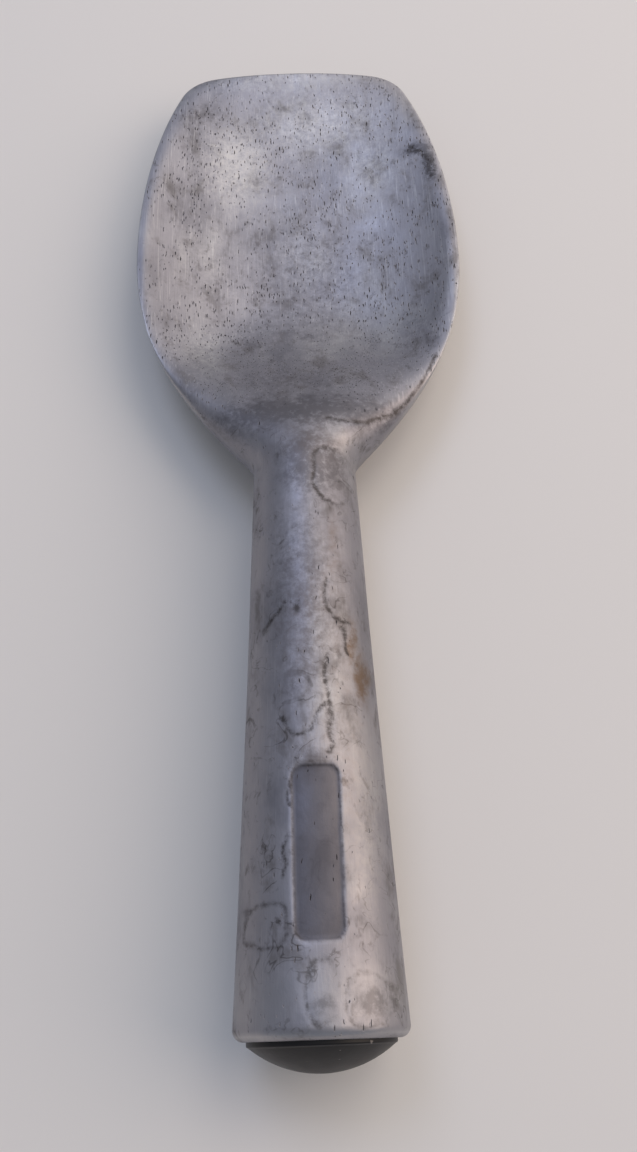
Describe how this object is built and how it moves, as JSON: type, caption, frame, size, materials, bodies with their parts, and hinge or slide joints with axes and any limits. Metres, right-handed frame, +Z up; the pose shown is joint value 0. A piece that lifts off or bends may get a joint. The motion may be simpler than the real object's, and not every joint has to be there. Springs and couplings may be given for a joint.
{
  "type": "ice cream scoop",
  "caption": "Cast aluminium ice cream spade: dished blade with a straight lip, tapered round hollow handle filled with liquid, domed cap in its butt.",
  "frame": {"origin": "centre of the bounding box, on the surface that the scoop lies on", "axes": "+Y from the butt towards the lip, +Z up out of the bowl, +X across the blade"},
  "size_m": [0.0672, 0.2099, 0.0271],
  "materials": {
    "cast_aluminium": "worn, pitted cast aluminium with faint lengthwise brushing",
    "liquid_charge": "clear liquid",
    "bung_rubber": "matte moulded rubber",
    "pressed_aluminium": "bright pressed sheet",
    "cap_plastic": "satin moulded plastic, scuffed"
  },
  "bodies": {
    "root": {"cast_body": "cast_aluminium", "heat_fluid": "liquid_charge", "rubber_bung": "bung_rubber", "core_plug": "pressed_aluminium", "end_cap": "cap_plastic"}
  },
  "joints": []
}
